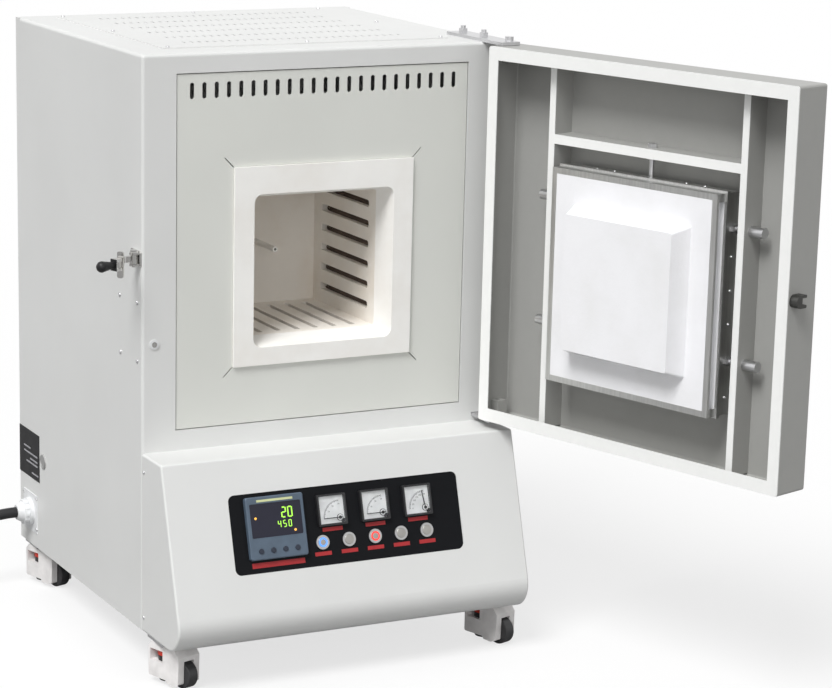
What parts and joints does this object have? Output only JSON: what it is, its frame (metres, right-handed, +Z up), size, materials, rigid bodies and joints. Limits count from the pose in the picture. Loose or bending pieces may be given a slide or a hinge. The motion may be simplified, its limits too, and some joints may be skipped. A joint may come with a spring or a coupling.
{
  "type": "muffle furnace",
  "caption": "Laboratory muffle furnace on levelling casters, with its plug door swung open, slotted ceramic chamber, sloping control console and side latch.",
  "frame": {"origin": "centre of the footprint on the floor, measured with the door open as pictured and without the cord", "axes": "+X to the right and +Y to the back as seen from the front, +Z up"},
  "size_m": [1.2778, 1.186, 0.972],
  "materials": {
    "casing_paint": "satin",
    "console_paint": "satin",
    "base_steel": "galvanised",
    "panel_paint": "satin",
    "fibre": "matt",
    "liner_steel": "satin",
    "coil_wire": "oxidised",
    "sheath": "glazed",
    "zinc": "bright",
    "door_paint": "satin",
    "stainless": "brushed",
    "claw_steel": "dark",
    "chrome": "polished",
    "grip_black": "moulded",
    "gear": "varnished",
    "plate_black": "satin",
    "controller_case": "moulded",
    "key_plastic": "moulded",
    "meter_case": "moulded",
    "pointer": "black",
    "button_metal": "turned",
    "caster_cast": "painted",
    "wheel_nylon": "moulded",
    "ring_red": "moulded",
    "pad_rubber": "moulded",
    "gland_white": "moulded",
    "cord_black": "matt"
  },
  "bodies": {
    "cabinet": {"cabinet_casing": "casing_paint", "base_plate": "base_steel", "console_cover": "console_paint", "rear_panel": "casing_paint", "top_vent_cover": "casing_paint", "front_panel": "panel_paint", "mouth_ring_upper": "fibre", "mouth_ring_lower": "fibre", "chamber_boards": "fibre", "chamber_hood": "fibre", "furnace_liner": "liner_steel", "heating_elements": "coil_wire", "thermocouple": "sheath", "hinge_plates": "zinc", "latch_bracket": "chrome", "power_gear": "gear", "instrument_panel": "plate_black", "temperature_controller": "controller_case", "meter_cases": "meter_case", "cord_gland": "gland_white", "power_cord": "cord_black", "cord_coil": "cord_black", "mains_plug": "cord_black"},
    "door": {"door_shell": "door_paint", "door_frame": "door_paint", "plug_casing": "stainless", "plug_board": "fibre", "plug_hangers": "zinc", "catch_claw": "claw_steel"},
    "latch_swing_arm": {"latch_arm": "chrome"},
    "latch_handle": {"latch_lever": "grip_black"},
    "switch_plunger": {"door_switch_plunger": "stainless"},
    "button_1": {"push_button_1": "button_metal"},
    "button_2": {"push_button_2": "button_metal"},
    "button_3": {"push_button_3": "button_metal"},
    "button_4": {"push_button_4": "button_metal"},
    "button_5": {"push_button_5": "button_metal"},
    "key_1": {"controller_key_1": "key_plastic"},
    "key_2": {"controller_key_2": "key_plastic"},
    "key_3": {"controller_key_3": "key_plastic"},
    "key_4": {"controller_key_4": "key_plastic"},
    "pointer_1": {"meter_pointer_1": "pointer"},
    "pointer_2": {"meter_pointer_2": "pointer"},
    "pointer_3": {"meter_pointer_3": "pointer"},
    "housing_front_left": {"caster_housing_front_left": "caster_cast"},
    "wheel_front_left": {"caster_wheel_front_left": "wheel_nylon"},
    "adjuster_front_left": {"caster_adjuster_front_left": "ring_red"},
    "foot_front_left": {"caster_foot_front_left": "pad_rubber"},
    "housing_front_right": {"caster_housing_front_right": "caster_cast"},
    "wheel_front_right": {"caster_wheel_front_right": "wheel_nylon"},
    "adjuster_front_right": {"caster_adjuster_front_right": "ring_red"},
    "foot_front_right": {"caster_foot_front_right": "pad_rubber"},
    "housing_rear_left": {"caster_housing_rear_left": "caster_cast"},
    "wheel_rear_left": {"caster_wheel_rear_left": "wheel_nylon"},
    "adjuster_rear_left": {"caster_adjuster_rear_left": "ring_red"},
    "foot_rear_left": {"caster_foot_rear_left": "pad_rubber"},
    "housing_rear_right": {"caster_housing_rear_right": "caster_cast"},
    "wheel_rear_right": {"caster_wheel_rear_right": "wheel_nylon"},
    "adjuster_rear_right": {"caster_adjuster_rear_right": "ring_red"},
    "foot_rear_right": {"caster_foot_rear_right": "pad_rubber"}
  },
  "joints": [
    {"name": "door_hinge", "type": "hinge", "parent": "cabinet", "child": "door", "pos_m": [0.23804, -0.00653, 0.66], "axis": [0, 0, 1], "range_deg": [-107.3, 72]},
    {"name": "latch_arm_swing", "type": "hinge", "parent": "cabinet", "child": "latch_swing_arm", "pos_m": [-0.36456, 0.04297, 0.651], "axis": [0, 0, 1], "range_deg": [-90, 50]},
    {"name": "latch_lever_turn", "type": "hinge", "parent": "latch_swing_arm", "child": "latch_handle", "pos_m": [-0.40286, 0.01083, 0.651], "axis": [0, 0, 1], "range_deg": [-75, 60]},
    {"name": "switch_press", "type": "slide", "parent": "cabinet", "child": "switch_plunger", "axis": [0, 1, 0], "range_m": [0, 0.0024], "stiffness_N_per_m": 400, "springref_m": -0.001},
    {"name": "button_1_press", "type": "slide", "parent": "cabinet", "child": "button_1", "axis": [0, 0.9556, -0.2945], "range_m": [0, 0.0025], "stiffness_N_per_m": 400, "springref_m": -0.001},
    {"name": "button_2_press", "type": "slide", "parent": "cabinet", "child": "button_2", "axis": [0, 0.9556, -0.2945], "range_m": [0, 0.0025], "stiffness_N_per_m": 400, "springref_m": -0.001},
    {"name": "button_3_press", "type": "slide", "parent": "cabinet", "child": "button_3", "axis": [0, 0.9556, -0.2945], "range_m": [0, 0.0025], "stiffness_N_per_m": 400, "springref_m": -0.001},
    {"name": "button_4_press", "type": "slide", "parent": "cabinet", "child": "button_4", "axis": [0, 0.9556, -0.2945], "range_m": [0, 0.0025], "stiffness_N_per_m": 400, "springref_m": -0.001},
    {"name": "button_5_press", "type": "slide", "parent": "cabinet", "child": "button_5", "axis": [0, 0.9556, -0.2945], "range_m": [0, 0.0025], "stiffness_N_per_m": 400, "springref_m": -0.001},
    {"name": "key_1_press", "type": "slide", "parent": "cabinet", "child": "key_1", "axis": [0, 0.9556, -0.2945], "range_m": [0, 0.0008], "stiffness_N_per_m": 400, "springref_m": -0.0005},
    {"name": "key_2_press", "type": "slide", "parent": "cabinet", "child": "key_2", "axis": [0, 0.9556, -0.2945], "range_m": [0, 0.0008], "stiffness_N_per_m": 400, "springref_m": -0.0005},
    {"name": "key_3_press", "type": "slide", "parent": "cabinet", "child": "key_3", "axis": [0, 0.9556, -0.2945], "range_m": [0, 0.0008], "stiffness_N_per_m": 400, "springref_m": -0.0005},
    {"name": "key_4_press", "type": "slide", "parent": "cabinet", "child": "key_4", "axis": [0, 0.9556, -0.2945], "range_m": [0, 0.0008], "stiffness_N_per_m": 400, "springref_m": -0.0005},
    {"name": "pointer_1_turn", "type": "hinge", "parent": "cabinet", "child": "pointer_1", "pos_m": [-0.07146, -0.07641, 0.24963], "axis": [0, 0.9556, -0.2945], "range_deg": [0, 90]},
    {"name": "pointer_2_turn", "type": "hinge", "parent": "cabinet", "child": "pointer_2", "pos_m": [0.00194, -0.07641, 0.24963], "axis": [0, 0.9556, -0.2945], "range_deg": [0, 90]},
    {"name": "pointer_3_turn", "type": "hinge", "parent": "cabinet", "child": "pointer_3", "pos_m": [0.07574, -0.07641, 0.24963], "axis": [0, 0.9556, -0.2945], "range_deg": [-82, 8]},
    {"name": "swivel_front_left", "type": "hinge", "parent": "cabinet", "child": "housing_front_left", "pos_m": [-0.33006, -0.01703, 0.06], "axis": [0, 0, 1], "continuous": true},
    {"name": "roll_front_left", "type": "hinge", "parent": "housing_front_left", "child": "wheel_front_left", "pos_m": [-0.31878, -0.05175, 0.0215], "axis": [0.9511, 0.309, 0], "continuous": true},
    {"name": "adjust_front_left", "type": "hinge", "parent": "housing_front_left", "child": "adjuster_front_left", "pos_m": [-0.33006, -0.01703, 0.045], "axis": [0, 0, 1], "range_deg": [0, 1890]},
    {"name": "foot_front_left", "type": "slide", "parent": "housing_front_left", "child": "foot_front_left", "axis": [0, 0, 1], "range_m": [-0.0078, 0]},
    {"name": "swivel_front_right", "type": "hinge", "parent": "cabinet", "child": "housing_front_right", "pos_m": [0.21994, -0.01703, 0.06], "axis": [0, 0, 1], "continuous": true},
    {"name": "roll_front_right", "type": "hinge", "parent": "housing_front_right", "child": "wheel_front_right", "pos_m": [0.23122, -0.05175, 0.0215], "axis": [0.9511, 0.309, 0], "continuous": true},
    {"name": "adjust_front_right", "type": "hinge", "parent": "housing_front_right", "child": "adjuster_front_right", "pos_m": [0.21994, -0.01703, 0.045], "axis": [0, 0, 1], "range_deg": [0, 1890]},
    {"name": "foot_front_right", "type": "slide", "parent": "housing_front_right", "child": "foot_front_right", "axis": [0, 0, 1], "range_m": [-0.0078, 0]},
    {"name": "swivel_rear_left", "type": "hinge", "parent": "cabinet", "child": "housing_rear_left", "pos_m": [-0.33006, 0.54097, 0.06], "axis": [0, 0, 1], "continuous": true},
    {"name": "roll_rear_left", "type": "hinge", "parent": "housing_rear_left", "child": "wheel_rear_left", "pos_m": [-0.31878, 0.50625, 0.0215], "axis": [0.9511, 0.309, 0], "continuous": true},
    {"name": "adjust_rear_left", "type": "hinge", "parent": "housing_rear_left", "child": "adjuster_rear_left", "pos_m": [-0.33006, 0.54097, 0.045], "axis": [0, 0, 1], "range_deg": [0, 1890]},
    {"name": "foot_rear_left", "type": "slide", "parent": "housing_rear_left", "child": "foot_rear_left", "axis": [0, 0, 1], "range_m": [-0.0078, 0]},
    {"name": "swivel_rear_right", "type": "hinge", "parent": "cabinet", "child": "housing_rear_right", "pos_m": [0.21994, 0.54097, 0.06], "axis": [0, 0, 1], "continuous": true},
    {"name": "roll_rear_right", "type": "hinge", "parent": "housing_rear_right", "child": "wheel_rear_right", "pos_m": [0.23122, 0.50625, 0.0215], "axis": [0.9511, 0.309, 0], "continuous": true},
    {"name": "adjust_rear_right", "type": "hinge", "parent": "housing_rear_right", "child": "adjuster_rear_right", "pos_m": [0.21994, 0.54097, 0.045], "axis": [0, 0, 1], "range_deg": [0, 1890]},
    {"name": "foot_rear_right", "type": "slide", "parent": "housing_rear_right", "child": "foot_rear_right", "axis": [0, 0, 1], "range_m": [-0.0078, 0]}
  ],
  "couplings": [
    {"joint": "adjust_front_left", "follows": "foot_front_left", "rad_per_m": -4188.8},
    {"joint": "adjust_front_right", "follows": "foot_front_right", "rad_per_m": -4188.8},
    {"joint": "adjust_rear_left", "follows": "foot_rear_left", "rad_per_m": -4188.8},
    {"joint": "adjust_rear_right", "follows": "foot_rear_right", "rad_per_m": -4188.8}
  ]
}
